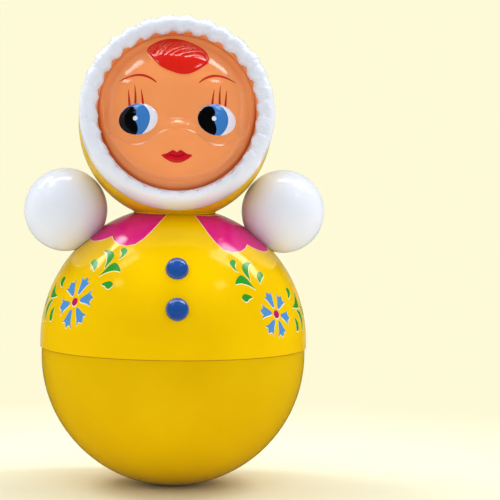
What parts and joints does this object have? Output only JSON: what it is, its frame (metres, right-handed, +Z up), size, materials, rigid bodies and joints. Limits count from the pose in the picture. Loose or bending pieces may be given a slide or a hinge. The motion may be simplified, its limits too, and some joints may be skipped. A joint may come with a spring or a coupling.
{
  "type": "roly poly toy",
  "caption": "Round-bottomed weighted doll that rights itself: split ball body with a hammer chime inside, turning hooded head with a moulded face, and ball hands on stems.",
  "frame": {"origin": "middle of the small flat under the body, on the surface that the doll stands on", "axes": "+Z up the doll's axis of turning, the face looks along -Y, the doll's left hand is at +X"},
  "size_m": [0.1352, 0.1223, 0.2108],
  "materials": {
    "yellow_plastic": "glossy moulding",
    "white_plastic": "glossy moulding",
    "flesh_plastic": "glossy moulding with sprayed and printed paint",
    "blue_plastic": "glossy moulding",
    "natural_plastic": "as moulded",
    "ballast_iron": "as cast",
    "chime_steel": "drawn and turned"
  },
  "bodies": {
    "body": {"lower_shell": "yellow_plastic", "upper_shell": "yellow_plastic", "button_upper": "blue_plastic", "button_lower": "blue_plastic", "chime_plate": "natural_plastic", "hammer_frame": "natural_plastic", "ballast": "ballast_iron", "rod_block": "chime_steel", "hammer_pins": "chime_steel", "ballast_screws": "chime_steel", "frame_screws": "chime_steel", "chime_rod_1": "chime_steel", "chime_rod_2": "chime_steel", "chime_rod_3": "chime_steel", "chime_rod_4": "chime_steel"},
    "head": {"hood_shell": "yellow_plastic", "fur_trim": "white_plastic", "face_plate": "flesh_plastic", "neck_retainer": "natural_plastic"},
    "hand_left": {"hand_left": "white_plastic", "hand_retainer_left": "natural_plastic"},
    "hand_right": {"hand_right": "white_plastic", "hand_retainer_right": "natural_plastic"},
    "hammer_1": {"hammer_arm_1": "natural_plastic", "hammer_head_1": "chime_steel"},
    "hammer_2": {"hammer_arm_2": "natural_plastic", "hammer_head_2": "chime_steel"},
    "hammer_3": {"hammer_arm_3": "natural_plastic", "hammer_head_3": "chime_steel"},
    "hammer_4": {"hammer_arm_4": "natural_plastic", "hammer_head_4": "chime_steel"}
  },
  "joints": [
    {"name": "head_turn", "type": "hinge", "parent": "body", "child": "head", "pos_m": [0, 0, 0.1204], "axis": [0, 0, 1], "range_deg": [-20, 20]},
    {"name": "hand_left_turn", "type": "hinge", "parent": "body", "child": "hand_left", "pos_m": [0.04893, 0, 0.12405], "axis": [0.6438, 0, 0.7652], "continuous": true},
    {"name": "hand_right_turn", "type": "hinge", "parent": "body", "child": "hand_right", "pos_m": [-0.04893, 0, 0.12405], "axis": [-0.6438, 0, 0.7652], "continuous": true},
    {"name": "hammer_1_swing", "type": "hinge", "parent": "body", "child": "hammer_1", "pos_m": [0.00848, 0.00848, 0.06816], "axis": [-0.7071, 0.7071, 0], "range_deg": [-8, 8]},
    {"name": "hammer_2_swing", "type": "hinge", "parent": "body", "child": "hammer_2", "pos_m": [-0.00848, 0.00848, 0.06816], "axis": [-0.7071, -0.7071, 0], "range_deg": [-8, 8]},
    {"name": "hammer_3_swing", "type": "hinge", "parent": "body", "child": "hammer_3", "pos_m": [-0.00848, -0.00848, 0.06816], "axis": [0.7071, -0.7071, 0], "range_deg": [-8, 8]},
    {"name": "hammer_4_swing", "type": "hinge", "parent": "body", "child": "hammer_4", "pos_m": [0.00848, -0.00848, 0.06816], "axis": [0.7071, 0.7071, 0], "range_deg": [-8, 8]}
  ]
}
